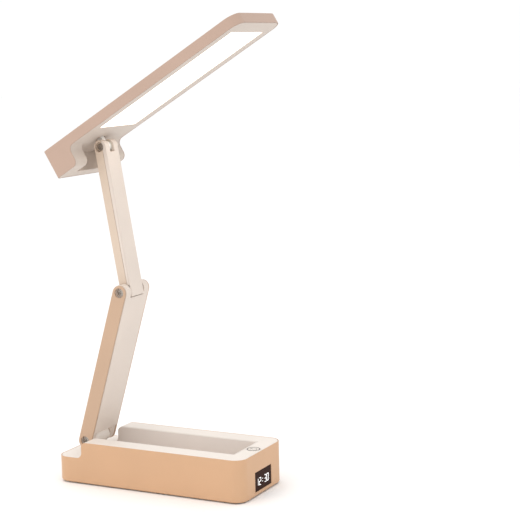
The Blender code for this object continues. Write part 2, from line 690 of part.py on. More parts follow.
def upper_arm_shell(finish, axis):
    """The rear and side walls of the upper arm, with the fork that carries the head."""
    split = -UPPER_SPLIT
    rear_end = 180 + math.degrees(math.asin(UPPER_SPLIT / UPPER_REAR))
    outline = arc(fork_centre(), fork_round(), split_angle(split), 90, FORK_ARC_SEGMENTS)
    outline += arc((0.0, 0.0), UPPER_REAR, 90, rear_end, FORK_ARC_SEGMENTS)
    half = UPPER_WIDTH / 2
    shell = prism("upper_arm_shell", outline, (-half, half), "XZ", finish, axis)
    inner = half - UPPER_WALL
    run = (UPPER_REAR, UPPER_ARM_LENGTH - FORK_DEPTH - FORK_WEB)
    hollow(shell, run, (-inner, inner), (-OVERCUT, UPPER_REAR - UPPER_WALL), axis)
    drill(shell, AXIS_Y, (0.0, 0.0, 0.0), PIN_HOLE, (-OVERCUT, OVERCUT), axis)
    fork_slot(shell, axis)
    return shell


def upper_arm_cover(finish, axis):
    """The pale front cover, with round long edges and the tongue that stops the opening."""
    split = -UPPER_SPLIT - GAP
    outline = [(-TONGUE, split), (-TONGUE, -UPPER_FRONT)]
    outline += arc(fork_centre(), fork_round(), -90, split_angle(split))
    half = UPPER_WIDTH / 2
    cover = prism("upper_arm_cover", outline, (-half, half), "XZ", finish, axis)
    inner = half - UPPER_WALL
    skin = -UPPER_FRONT + UPPER_SKIN
    run = (-OVERCUT, UPPER_ARM_LENGTH - FORK_DEPTH - FORK_WEB)
    hollow(cover, run, (-inner, inner), (skin, OVERCUT), axis)
    hollow(cover, (-OVERCUT, UPPER_REAR), (-OVERCUT, OVERCUT), (skin, OVERCUT), axis)
    fork_slot(cover, axis)
    return cover


# ---------------------------------------------------------------- head

def block_line(inset):
    """The head's lower line from rear to tip: block, S-shaped step and thin panel part."""
    block = [(-HEAD_REAR - OVERCUT, BLOCK_BOTTOM + inset)]
    round_centre = (BLOCK_FRONT - BLOCK_ROUND, BLOCK_BOTTOM + BLOCK_ROUND)
    fillet_centre = (BLOCK_FRONT + BLOCK_ROUND, UNDERSIDE - BLOCK_ROUND)
    crown = arc(round_centre, BLOCK_ROUND - inset, -90, 0)
    fillet = arc(fillet_centre, BLOCK_ROUND + inset, 180, 90)
    return block + crown + fillet + [(TIP_X + OVERCUT, UNDERSIDE + inset)]


def above_block(inset, top):
    return block_line(inset) + [(TIP_X + OVERCUT, top), (-HEAD_REAR - OVERCUT, top)]


def below_block(inset):
    bottom = BLOCK_BOTTOM - OVERCUT
    return block_line(inset) + [(TIP_X + OVERCUT, bottom), (-HEAD_REAR - OVERCUT, bottom)]


def head_plan(inset):
    half = BASE_WIDTH / 2 - inset
    run = (-HEAD_REAR + inset, TIP_X - inset)
    return rounded_rectangle(run, (-half, half), HEAD_CORNER - inset, HEAD_REAR_CORNER - inset)


def head_shell(finish, axis):
    across = (-BASE_WIDTH, BASE_WIDTH)
    shell = prism("head_shell", head_plan(0.0), (BLOCK_BOTTOM - OVERCUT, HEAD_TOP), "XY", finish, axis)
    combine(shell, prism("head_shell_trim", below_block(0.0), across, "XZ", None, axis))
    ceiling = HEAD_TOP - SKIN
    low = BLOCK_BOTTOM - OVERCUT
    combine(shell, prism("head_shell_cavity", head_plan(HEAD_WALL), (low, ceiling), "XY", None, axis))
    rebate = prism("head_shell_rebate", below_block(SKIN + GAP), across, "XZ", None, axis)
    plan = prism("head_shell_rebate_plan", head_plan(LIP), (low - OVERCUT, HEAD_TOP), "XY", None, axis)
    combine(rebate, plan, "INTERSECT")
    combine(shell, rebate)
    for x, y in lug_screw_places():
        stations = [(foot_top() + GAP, SMALL_SCREW_RADIUS * 2), (ceiling + GAP, SMALL_SCREW_RADIUS * 2)]
        post = turned("head_shell_post", stations, AXIS_Z, (x, y, 0.0), None, axis)
        combine(shell, post, "UNION")
        drill(shell, AXIS_Z, (x, y, 0.0), SMALL_SCREW_RADIUS + GAP / 2, (low, ceiling), axis)
    return shell


def head_frame(finish, axis):
    """The underside frame: panel border, S-shaped cheeks and the pocket over the hinges."""
    across = (-BASE_WIDTH, BASE_WIDTH)
    low = BLOCK_BOTTOM - OVERCUT
    roof = UNDERSIDE + SKIN
    frame = prism("head_frame", head_plan(LIP + GAP), (low, roof), "XY", finish, axis)
    combine(frame, prism("head_frame_trim", below_block(0.0), across, "XZ", None, axis))
    void = prism("head_frame_void", above_block(SKIN, HEAD_TOP + OVERCUT), across, "XZ", None, axis)
    rear = -HEAD_REAR + POCKET_REAR
    outer = POCKET_HALF + POCKET_WALL
    step_end = BLOCK_FRONT + 2 * BLOCK_ROUND
    hollow(void, (rear - POCKET_WALL, step_end), (-outer, outer), (low - OVERCUT, roof), axis)
    combine(frame, void)
    hollow(frame, (rear, step_end + GAP), (-POCKET_HALF, POCKET_HALF), (low, UNDERSIDE), axis)
    run = (PANEL_REAR_X, PANEL_FRONT_X)
    hollow(frame, run, (-PANEL_HALF, PANEL_HALF), (low, roof + OVERCUT), axis)
    slot = LUG_WEB + RUNNING
    hollow(frame, (-slot, slot), (-FORK_INNER, FORK_INNER), (0.0, roof + OVERCUT), axis)
    return frame


def light_panel(finishes, axis):
    """Opal diffuser, light guide, reflector sheet and the two LED strips along its long edges."""
    half = PANEL_HALF - GAP
    run = (PANEL_REAR_X + GAP, PANEL_FRONT_X - GAP)
    level = UNDERSIDE + GAP
    rows = (level, level + DIFFUSER_THICKNESS)
    box("led_diffuser", run, (-half, half), rows, finishes["diffuser"], axis)
    level = UNDERSIDE + SKIN + GAP
    run = (PANEL_REAR_X - GUIDE_MARGIN, PANEL_FRONT_X + GUIDE_MARGIN)
    half = PANEL_HALF + GUIDE_MARGIN
    top = level + GUIDE_THICKNESS
    box("light_guide", run, (-half, half), (level, top), finishes["guide"], axis)
    sheet = (top + GAP, top + GAP + REFLECTOR_THICKNESS)
    box("reflector_sheet", run, (-half, half), sheet, finishes["reflector"], axis)
    for side, word in ((-1, "near"), (1, "far")):
        faces = sorted((side * (half + GAP), side * (half + GAP + STRIP_WIDTH)))
        box("led_strip_" + word, run, faces, (level, top), finishes["strip"], axis)


def foot_top():
    return HEAD_TOP - SKIN - 2 * GAP - GUIDE_THICKNESS / 2


def lug_screw_places():
    offset = LUG_FOOT[1] / 2 - SMALL_SCREW_RADIUS * 2
    return [(-LUG_SCREW_OFFSET, -offset), (-LUG_SCREW_OFFSET, offset)]


def head_hinge_lug(finish, axis):
    """The lug between the fork's ears: a barrel, a web up into the head and a foot plate."""
    rise = math.degrees(math.acos(LUG_WEB / LUG_RADIUS))
    barrel = arc((0.0, 0.0), LUG_RADIUS, 180 - rise, 360 + rise, SCREW_SEGMENTS)
    top = foot_top() - LUG_FOOT[2] / 2
    outline = barrel + [(LUG_WEB, top), (-LUG_WEB, top)]
    lug = prism("head_hinge_lug", outline, (-LUG_HALF, LUG_HALF), "XZ", finish, axis)
    length, width, height = LUG_FOOT
    rows = (foot_top() - height, foot_top())
    foot = box("head_hinge_lug_foot", (-length / 2, length / 2), (-width / 2, width / 2), rows, None, axis)
    combine(lug, foot, "UNION")
    drill(lug, AXIS_Y, (0.0, 0.0, 0.0), PIN_HOLE, (-OVERCUT, OVERCUT), axis)
    for x, y in lug_screw_places():
        drill(lug, AXIS_Z, (x, y, 0.0), SMALL_SCREW_RADIUS + GAP / 2, (UNDERSIDE, HEAD_TOP), axis)
    return lug


def lug_screw(name, x, y, finish, axis):
    under = foot_top() - LUG_FOOT[2] - GAP / 3
    head = SMALL_SCREW_RADIUS * 2
    stations = [(under - RUNNING, head), (under, head), (under, SMALL_SCREW_RADIUS)]
    stations.append((HEAD_TOP - SKIN - GAP, SMALL_SCREW_RADIUS))
    return turned(name, stations, AXIS_Z, (x, y, 0.0), finish, axis, SMALL_SCREW_SEGMENTS)


# ---------------------------------------------------------------- build

def finishes():
    return {
        "peach": material("peach_abs", (0.66, 0.43, 0.29), 0.45),
        "rose": material("rose_abs", (0.60, 0.42, 0.34), 0.45),
        "ivory": material("ivory_abs", (0.84, 0.77, 0.70), 0.42),
        "greige": material("greige_abs", (0.66, 0.58, 0.51), 0.5),
        "white": material("white_abs", (0.90, 0.88, 0.85), 0.35),
        "rubber": material("grey_rubber", (0.10, 0.10, 0.10), 0.9),
        "steel": material("screw_steel", (0.45, 0.42, 0.40), 0.35, 1.0),
        "nylon": material("natural_nylon", (0.80, 0.78, 0.72), 0.5),
        "plate": material("zinc_plated_plate", (0.60, 0.60, 0.60), 0.4, 1.0),
        "battery": material("blue_wrap", (0.05, 0.12, 0.35), 0.35),
        "board": material("green_board", (0.02, 0.22, 0.08), 0.5),
        "display": material("black_display", (0.02, 0.02, 0.02), 0.3),
        "glass": material("smoked_window", (0.05, 0.035, 0.03), 0.1),
        "diffuser": material("opal_diffuser", (1.0, 0.93, 0.84), 0.4, 0.0, 4.0),
        "guide": material("clear_guide", (0.85, 0.88, 0.88), 0.1),
        "reflector": material("white_reflector", (0.92, 0.92, 0.92), 0.6),
        "strip": material("led_strip_board", (0.85, 0.84, 0.78), 0.5),
        "lead": material("grey_lead", (0.30, 0.30, 0.30), 0.6),
    }


def build_base(look):
    base_shell(look["peach"])
    base_top_frame(look["ivory"])
    storage_tray(look["greige"])
    base_hinge_knuckle(look["ivory"])
    base_bottom_cover(look["peach"])
    anti_slip_mat(look["rubber"])
    ballast_plate(look["plate"])
    base_inside(look)
    touch_key(look["ivory"], look["steel"])
    clock_window(look["glass"])
    usb_socket(look["steel"])
    rear_board(look["board"])
    set_button("set_button_left", 1, look["ivory"])
    set_button("set_button_right", -1, look["ivory"])
    for number, (x, y) in enumerate(boss_places(), 1):
        bottom_screw("base_screw_%d" % number, x, y, look["steel"])
    for number, (x, y) in enumerate(post_screw_places(), 1):
        bottom_screw("knuckle_screw_%d" % number, x, y, look["steel"])


def build_lower_arm(look, axis):
    lower_arm_rail("lower_arm_rail_near", -1, look["peach"], axis)
    lower_arm_rail("lower_arm_rail_far", 1, look["peach"], axis)
    lower_arm_channel(look["ivory"], axis)
    run = (EAR_LENGTH + GAP, LOWER_ARM_LENGTH - MIDDLE_EAR_LENGTH - GAP)
    beside_wall = CHANNEL_INNER - LEAD_RADIUS - GAP
    over_floor = CHANNEL_INSIDE + LEAD_RADIUS + GAP
    lead("lower_arm_lead", run, beside_wall, over_floor, look["lead"], axis)
    metal, washer = look["steel"], look["nylon"]
    outer = LOWER_WIDTH / 2
    beside_post = KNUCKLE_HALF + WASHER_PLAY
    hinge_hardware("base_hinge", 0.0, axis, outer, LOWER_SINK, beside_post, metal, washer)
    beside_arm = UPPER_WIDTH / 2 + WASHER_PLAY
    hinge_hardware("mid_hinge", LOWER_ARM_LENGTH, axis, outer, LOWER_SINK, beside_arm, metal, washer)


def build_upper_arm(look, axis):
    upper_arm_shell(look["rose"], axis)
    upper_arm_cover(look["white"], axis)
    run = (UPPER_REAR + RUNNING, UPPER_ARM_LENGTH - FORK_DEPTH - FORK_WEB - GAP)
    lead("upper_arm_lead", run, 0.0, UPPER_REAR - UPPER_WALL - 2 * LEAD_RADIUS, look["lead"], axis)
    metal, washer = look["steel"], look["nylon"]
    outer = UPPER_WIDTH / 2
    beside_lug = LUG_HALF + WASHER_PLAY
    hinge_hardware("head_hinge", UPPER_ARM_LENGTH, axis, outer, UPPER_SINK, beside_lug, metal, washer)


def build_head(look, axis):
    head_shell(look["rose"], axis)
    head_frame(look["greige"], axis)
    light_panel(look, axis)
    head_hinge_lug(look["white"], axis)
    for number, (x, y) in enumerate(lug_screw_places(), 1):
        lug_screw("lug_screw_%d" % number, x, y, look["steel"], axis)


def main():
    clear_scene()
    look = finishes()
    build_base(look)
    lower_axis = hinge_empty("base_hinge_axis", (HINGE_X, 0.0, HINGE_HEIGHT), LOWER_ARM_ANGLE)
    build_lower_arm(look, lower_axis)
    bend = UPPER_ARM_ANGLE - LOWER_ARM_ANGLE
    middle_axis = hinge_empty("mid_hinge_axis", (LOWER_ARM_LENGTH, 0.0, 0.0), bend, lower_axis)
    build_upper_arm(look, middle_axis)
    tilt = HEAD_ANGLE - UPPER_ARM_ANGLE
    head_axis = hinge_empty("head_hinge_axis", (UPPER_ARM_LENGTH, 0.0, 0.0), tilt, middle_axis)
    build_head(look, head_axis)


main()
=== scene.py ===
# %% [markdown]
# # A folding desk lamp, finished around its engineering model
# The engineering model is loaded first and stays where it is. This script gives it its looks:
# rounded moulded edges, screws, a clock face, a touch key, procedural finishes, soft light and a
# camera. Everything is in metres, +X runs from the hinge end of the base to the clock end, +Z is
# up.

# %% Load the fixed model
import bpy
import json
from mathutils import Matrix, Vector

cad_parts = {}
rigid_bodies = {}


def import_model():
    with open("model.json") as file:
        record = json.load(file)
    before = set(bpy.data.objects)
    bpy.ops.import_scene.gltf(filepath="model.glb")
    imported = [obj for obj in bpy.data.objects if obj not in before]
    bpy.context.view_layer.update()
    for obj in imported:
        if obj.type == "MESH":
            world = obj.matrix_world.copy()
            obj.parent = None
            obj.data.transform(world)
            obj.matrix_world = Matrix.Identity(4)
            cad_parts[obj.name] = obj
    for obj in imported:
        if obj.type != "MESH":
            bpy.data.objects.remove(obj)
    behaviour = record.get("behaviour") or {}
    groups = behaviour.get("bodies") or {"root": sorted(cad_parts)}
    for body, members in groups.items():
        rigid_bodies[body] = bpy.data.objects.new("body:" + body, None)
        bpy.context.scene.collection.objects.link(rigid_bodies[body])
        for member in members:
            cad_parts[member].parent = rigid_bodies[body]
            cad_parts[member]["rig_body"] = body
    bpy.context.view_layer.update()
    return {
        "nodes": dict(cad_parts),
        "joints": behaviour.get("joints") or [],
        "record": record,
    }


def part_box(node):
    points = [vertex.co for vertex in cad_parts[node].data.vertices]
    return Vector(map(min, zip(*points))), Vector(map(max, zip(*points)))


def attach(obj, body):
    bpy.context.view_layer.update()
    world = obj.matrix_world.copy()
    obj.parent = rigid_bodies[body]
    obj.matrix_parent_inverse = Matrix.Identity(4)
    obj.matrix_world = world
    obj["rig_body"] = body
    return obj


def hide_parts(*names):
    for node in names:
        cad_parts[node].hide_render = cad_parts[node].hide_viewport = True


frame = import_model()

# %% [markdown]
# ## Two small tools for editing
# An operator acts on whatever is selected, so each piece is taken alone before it is shaped.
# Faces and edges can be clicked by hand; in code they are picked by a question about their place
# or direction.

# %% Take one piece, pick parts of it
import json
import math

import bmesh
import bpy
from mathutils import Matrix, Vector

MM = 0.001
SAME_PLACE = 0.01 * MM  # two heights closer than this count as one
hinges = {
    joint["name"]: Vector(joint["pos_m"])
    for joint in frame["joints"] if joint["type"] == "hinge"
}


def only(piece):
    """Back in object mode, select this piece alone."""
    if bpy.context.mode != "OBJECT":
        bpy.ops.object.mode_set(mode="OBJECT")
    bpy.ops.object.select_all(action="DESELECT")
    piece.select_set(True)
    bpy.context.view_layer.objects.active = piece
    return piece


def pick(piece, kind, wanted):
    """In edit mode, select the faces, edges or verts that wanted() accepts; returns how many."""
    only(piece)
    bpy.ops.object.mode_set(mode="EDIT")
    bpy.ops.mesh.select_mode(type={"faces": "FACE", "edges": "EDGE", "verts": "VERT"}[kind])
    bpy.ops.mesh.select_all(action="DESELECT")
    shape = bmesh.from_edit_mesh(piece.data)
    shape.normal_update()
    found = [part for part in getattr(shape, kind) if wanted(part)]
    for part in found:
        part.select_set(True)
    shape.select_flush_mode()
    bmesh.update_edit_mesh(piece.data)
    return len(found)


def sharp(edge, degrees=30):
    """True for an edge whose two faces meet at more than this angle."""
    return len(edge.link_faces) == 2 and edge.calc_face_angle(0.0) > math.radians(degrees)


def middle(part):
    """The mean place of the corners of a face or an edge."""
    corners = [vert.co for vert in part.verts]
    return sum(corners, Vector()) / len(corners)


print("hinges", sorted(hinges))

# %% [markdown]
# ## Rounding a moulded part
# No moulded plastic edge is truly sharp: the tool is cut with a small radius, and that radius is
# what catches the light. A part whose shape is right already could be given a Bevel modifier, or
# be bevelled by hand. Here a copy of the CAD solid is merged, its flat faces are joined up
# again, and its hard edges are bevelled in edit mode, where a second, larger radius can be given
# to chosen edges first.

# %% Round the edges of a copy
WELD = 0.002 * MM  # corners closer than this become one
FLAT = math.radians(0.5)  # faces that meet at less than this become one
SMOOTH = math.radians(40)  # shading stays broken at corners sharper than this


def measure(piece):
    """Closed volume in cubic millimetres and the number of open or torn edges."""
    shape = bmesh.new()
    shape.from_mesh(piece.data)
    volume = shape.calc_volume() / MM ** 3
    torn = sum(not edge.is_manifold for edge in shape.edges)
    shape.free()
    return volume, torn


def finish_piece(piece):
    """Smooth shading that keeps real corners, with flat faces kept flat beside their rounds."""
    only(piece)
    bpy.ops.object.shade_smooth_by_angle(angle=SMOOTH)
    bpy.ops.object.modifier_add(type="WEIGHTED_NORMAL")
    piece.modifiers[-1].keep_sharp = True
    piece.modifiers[-1].weight = 100
    bpy.ops.object.modifier_apply(modifier=piece.modifiers[-1].name)
    volume, torn = measure(piece)
    print(f"{piece.name}: {len(piece.data.polygons)} faces, {volume:.0f} mm3, {torn} torn edges")
    return piece


def merged_copy(node, name):
    """A copy of a CAD solid with its loose triangles joined into whole faces."""
    piece = bpy.data.objects.new(name, frame["nodes"][node].data.copy())
    bpy.context.scene.collection.objects.link(piece)
    piece.data.materials.clear()
    only(piece)
    bpy.ops.object.mode_set(mode="EDIT")
    bpy.ops.mesh.select_all(action="SELECT")
    bpy.ops.mesh.remove_doubles(threshold=WELD)
    bpy.ops.mesh.dissolve_limited(angle_limit=FLAT)
    return piece


def round_edges(piece, radius, wanted=sharp, segments=3):
    """Bevel the wanted edges with even radii."""
    count = pick(piece, "edges", wanted)
    if count:
        bpy.ops.mesh.bevel(offset_type="OFFSET", offset=radius, segments=segments, profile=0.5,
                           affect="EDGES", clamp_overlap=False, loop_slide=False)
    bpy.ops.object.mode_set(mode="OBJECT")
    return count


def softened(node, name, radius, first=()):
    """Replace a CAD node by a copy with rounded edges; first lists (radius, wanted) passes."""
    piece = merged_copy(node, name)
    for large, wanted in first:
        round_edges(piece, large, wanted, 5)
    round_edges(piece, radius)
    finish_piece(piece)
    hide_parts(node)
    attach(piece, frame["nodes"][node]["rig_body"])
    return piece


pieces = {}
base_low, base_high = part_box("base_shell")
arm_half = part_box("upper_arm_cover")[1].y
WALL_BAND = 1.0 * MM  # how near the box an edge of a straight outer wall lies
CORNER_BLOCK = 12 * MM  # the square at each corner of the base that holds its round
CORNER_OUTER = 11.5 * MM  # inside that square, the outer wall is farther out than this
ARM_EDGE_LENGTH = 100 * MM  # only the arm's long edges are longer
ARM_EDGE_ANGLE = 1.0  # in radians: only its real corners are sharper
SPLIT_FACE = 700 * MM ** 2  # the narrow faces along the arm's split are smaller


def bottom_outer_edge(edge):
    """The lower outer edge of the base's side wall."""
    spot = middle(edge)
    low = all(abs(vert.co.z - base_low.z) < SAME_PLACE for vert in edge.verts)
    past_x = abs(spot.x) - base_high.x
    past_y = abs(spot.y) - base_high.y
    straight = abs(past_x) < WALL_BAND or abs(past_y) < WALL_BAND
    corner = math.hypot(max(past_x + CORNER_BLOCK, 0), max(past_y + CORNER_BLOCK, 0))
    return sharp(edge) and low and (straight or corner > CORNER_OUTER)


def at_split(edge):
    """True on the cover's long edges that meet the back of the arm."""
    return any(abs(face.normal.y) < 0.1 and face.calc_area() < SPLIT_FACE
               for face in edge.link_faces)


def long_front_edge(edge):
    """The two long edges of the upper arm's front face."""
    first, second = (vert.co for vert in edge.verts)
    long = (first - second).length > ARM_EDGE_LENGTH
    level = abs(first.y - second.y) < SAME_PLACE
    outer = abs(abs(first.y) - arm_half) < 0.05 * MM
    corner = edge.calc_face_angle(0.0) > ARM_EDGE_ANGLE
    return long and level and outer and corner and not at_split(edge)


pieces["base_shell"] = softened(
    "base_shell", "base_side_moulding", 0.25 * MM, [(1.8 * MM, bottom_outer_edge)]
)
pieces["upper_arm_cover"] = softened(
    "upper_arm_cover", "upper_arm_face", 0.2 * MM, [(1.6 * MM, long_front_edge)]
)
for node, name, radius in (
    ("base_top_frame", "base_rim_moulding", 0.3),
    ("storage_tray", "pen_tray", 0.3),
    ("base_hinge_knuckle", "hinge_post", 0.5),
    ("base_bottom_cover", "bottom_cover_plate", 0.3),
    ("anti_slip_mat", "grip_mat", 0.3),
    ("clock_window", "clock_pane", 0.15),
    ("lower_arm_rail_near", "lower_arm_side_near", 0.35),
    ("lower_arm_rail_far", "lower_arm_side_far", 0.35),
    ("lower_arm_channel", "lower_arm_face", 0.25),
    ("upper_arm_shell", "upper_arm_back", 0.2),
    ("head_shell", "head_top_moulding", 0.45),
    ("head_frame", "head_underside_moulding", 0.4),
    ("head_hinge_lug", "head_lug", 0.3),
    ("led_diffuser", "light_panel", 0.3),
    ("touch_key_ring", "key_ring", 0.12),
    ("base_hinge_pin", "hinge_pin_base", 0.3),
):
    pieces[node] = softened(node, name, radius * MM)

# %% [markdown]
# ## Socket screws
# Each hinge is held by two low-head socket screws, turned from steel bar and broached with a
# hexagon. A screw could be lathed from a profile. Here it starts as a cylinder: the underside is
# inset and extruded into the shank, the rim is bevelled, and a six-sided cylinder cuts the
# socket. One screw is made and copied, and each copy is turned a little, as real screws never
# stop at the same angle.

# %% Model one screw and place six
SCREW_HEAD = 1.1 * MM
SCREW_SHANK_RADIUS = 1.9 * MM
SOCKET_RADIUS = 1.75 * MM  # from the hexagon's middle to its corners
SOCKET_DEPTH = 0.8 * MM
SOCKET_ZONE = 1.85 * MM  # edges nearer the axis than this belong to the socket
screw_low, screw_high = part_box("mid_hinge_screw_near")
head_radius = (screw_high.x - screw_low.x) / 2
shank_length = screw_high.y - screw_low.y - SCREW_HEAD


def facing(axis, sign):
    """A question for pick(): does this face look along the axis?"""
    return lambda face: face.normal[axis] * sign > 0.9


def cut(piece, tool):
    """Take the tool's shape out of the piece and remove the tool."""
    only(piece)
    bpy.ops.object.modifier_add(type="BOOLEAN")
    piece.modifiers[-1].operation = "DIFFERENCE"
    piece.modifiers[-1].solver = "EXACT"
    piece.modifiers[-1].object = tool
    bpy.ops.object.modifier_apply(modifier=piece.modifiers[-1].name)
    bpy.data.objects.remove(tool, do_unlink=True)


def named(name):
    """Name the primitive just added and put its turn and place into its mesh."""
    piece = bpy.context.view_layer.objects.active
    piece.name = name
    bpy.ops.object.transform_apply(location=True, rotation=True, scale=True)
    return piece


def model_screw():
    """A screw on the Y axis: the head's underside is at zero and the shank runs towards +Y."""
    bpy.ops.mesh.primitive_cylinder_add(
        vertices=48, radius=head_radius, depth=SCREW_HEAD,
        location=(0, -SCREW_HEAD / 2, 0), rotation=(math.pi / 2, 0, 0),
    )
    screw = named("screw_master")
    pick(screw, "faces", facing(1, 1))
    bpy.ops.mesh.inset(thickness=head_radius - SCREW_SHANK_RADIUS)
    bpy.ops.mesh.extrude_region_move(TRANSFORM_OT_translate={"value": (0, shank_length, 0)})
    round_edges(screw, 0.22 * MM)
    bpy.ops.mesh.primitive_cylinder_add(
        vertices=6, radius=SOCKET_RADIUS, depth=2 * SOCKET_DEPTH,
        location=(0, -SCREW_HEAD, 0), rotation=(math.pi / 2, 0, 0),
    )
    cut(screw, named("hexagon"))
    round_edges(
        screw, 0.08 * MM, lambda edge: sharp(edge) and middle(edge).xz.length < SOCKET_ZONE, 2
    )
    return finish_piece(screw)


screw_master = model_screw()
for node, turn in (
    ("base_hinge_screw_near", 12), ("base_hinge_screw_far", 47), ("mid_hinge_screw_near", 25),
    ("mid_hinge_screw_far", 3), ("head_hinge_screw_near", 38), ("head_hinge_screw_far", 18),
):
    low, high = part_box(node)
    far = node.endswith("far")
    seat = high.y - SCREW_HEAD if far else low.y + SCREW_HEAD
    spot = Vector(((low.x + high.x) / 2, seat, (low.z + high.z) / 2))
    screw = bpy.data.objects.new(node.replace("_screw", "_socket_screw"), screw_master.data.copy())
    bpy.context.scene.collection.objects.link(screw)
    half_turn = Matrix.Rotation(math.pi if far else 0.0, 4, "Z")
    driven = Matrix.Rotation(math.radians(turn), 4, "Y")
    screw.data.transform(Matrix.Translation(spot) @ half_turn @ driven)
    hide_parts(node)
    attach(screw, frame["nodes"][node]["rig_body"])
    pieces[node] = screw
bpy.data.objects.remove(screw_master, do_unlink=True)

# %% [markdown]
# ## The touch key and its mark
# The key is a capacitive pad: a thin disc with a shallow dish for the fingertip, inside a dark
# ring. Its standby mark, an open circle with a bar, is printed on. A print could be a pattern in
# the material; it is made as a thin raised ink shape here, so that it is there in the mesh as
# well.

# %% Model the key
low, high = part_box("touch_key")
key_centre = (low + high) / 2
key_radius = (high.x - low.x) / 2
bpy.ops.mesh.primitive_cylinder_add(
    vertices=64, radius=key_radius, depth=high.z - low.z, location=key_centre
)
key = named("touch_key_cap")
pick(key, "faces", facing(2, 1))
bpy.ops.mesh.inset(thickness=0.9 * MM)
bpy.ops.mesh.inset(thickness=0.9 * MM, depth=-0.10 * MM)
bpy.ops.mesh.inset(thickness=1.2 * MM, depth=-0.05 * MM)
round_edges(key, 0.25 * MM, lambda edge: sharp(edge) and middle(edge).z > key_centre.z)
finish_piece(key)
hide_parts("touch_key")
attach(key, "base")
pieces["touch_key"] = key

# %% [markdown]
# The standby mark is printed on the key as a thin line: a ring left open on the side towards the
# arm, and a short bar in the opening. One end face of a tiny block is spun round the key's
# middle to make the ring, and the bar is joined to it, so the print has a small real height of
# its own.

# %% Model the standby mark
MARK_RADIUS = 3.1 * MM
MARK_LINE = 0.6 * MM
MARK_HEIGHT = 0.12 * MM
MARK_GAP = math.radians(34)  # half of the ring's opening
DISH_DEPTH = 0.15 * MM
BAR_LENGTH = MARK_RADIUS * 1.1
mark_centre = (key_centre.x, key_centre.y, high.z - DISH_DEPTH)
start_angle = math.pi + MARK_GAP
start = Vector((math.cos(start_angle), math.sin(start_angle), 0)) * MARK_RADIUS
forward = Vector((math.sin(MARK_GAP), -math.cos(MARK_GAP), 0))
bpy.ops.mesh.primitive_cube_add(
    size=1, location=(0, 0, 0), scale=(MARK_LINE, 0.02 * MM, MARK_HEIGHT)
)
mark = named("touch_key_mark")
mark.data.transform(
    Matrix.Translation(mark_centre) @ Matrix.Translation(start)
    @ Matrix.Rotation(start_angle, 4, "Z")
)
pick(mark, "faces", lambda face: face.normal.dot(forward) > 0.9)
bpy.ops.mesh.spin(
    steps=40, angle=2 * math.pi - 2 * MARK_GAP, center=mark_centre, axis=(0, 0, 1)
)
bpy.ops.object.mode_set(mode="OBJECT")
bpy.ops.mesh.primitive_cube_add(
    size=1, location=(key_centre.x - MARK_RADIUS * 0.8, key_centre.y, high.z - DISH_DEPTH),
    scale=(BAR_LENGTH, MARK_LINE, MARK_HEIGHT),
)
bar = named("mark_bar")
round_edges(bar, 0.05 * MM, segments=2)
mark.select_set(True)
bpy.context.view_layer.objects.active = mark
bpy.ops.object.join()
finish_piece(mark)
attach(mark, "base")

# %% [markdown]
# ## The clock digits
# The display shows a time in plain seven-segment digits. They could be a font, but a display is
# made of bars, so one bar is modelled: a six-sided cylinder whose two halves are pulled apart.
# Copies of it are turned and moved to the lit places of each digit, and joined.

# %% Model one bar and set the time
BAR = 0.52 * MM  # a bar's width across its flats
BAR_RADIUS = BAR / math.sqrt(3)
BAR_THICKNESS = 0.3 * MM
BAR_SPACE = 0.3 * MM  # left free between the ends of two bars
DIGIT_WIDTH = 3.3 * MM
DIGIT_HEIGHT = 6.6 * MM
DIGIT_PLACES = (-11.8, -6.4, 4.4, 9.2)  # across the pane, in mm
COLON = -1.3 * MM
DOT_ROWS = (-0.4, 0.4)  # in half heights of a digit
DOT_SHAPE = (1, 0.27, 1.3)  # a bar stretched by these is a dot of the colon
pane_low, pane_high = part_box("clock_window")
face_x = pane_high.x
digit_level = (pane_low.z + pane_high.z) / 2 - 1.0 * MM
LIT = {"0": "abcdef", "1": "bc", "2": "abged", "3": "abgcd"}
BARS = {
    "a": (0, 1, False), "g": (0, 0, False), "d": (0, -1, False),
    "b": (1, 0.5, True), "c": (1, -0.5, True), "f": (-1, 0.5, True), "e": (-1, -0.5, True),
}


def model_bar():
    """A bar on the Y axis with pointed ends and a rounded face."""
    bpy.ops.mesh.primitive_cylinder_add(
        vertices=6, radius=BAR_RADIUS, depth=BAR_THICKNESS, rotation=(0, math.pi / 2, 0)
    )
    bar = named("bar_master")
    flat_on_y = max(abs(vert.co.y) for vert in bar.data.vertices) < BAR_RADIUS * 0.95
    if flat_on_y:
        bar.data.transform(Matrix.Rotation(math.radians(30), 4, "X"))
    stretch = (DIGIT_HEIGHT / 2 - BAR * 1.35) / 2
    for sign in (-1, 1):
        pick(bar, "verts", lambda vert: vert.co.y * sign > 0)
        bpy.ops.transform.translate(value=(0, sign * stretch, 0))
    round_edges(bar, 0.08 * MM, lambda edge: sharp(edge) and middle(edge).x > 0.1 * MM, 2)
    return bar


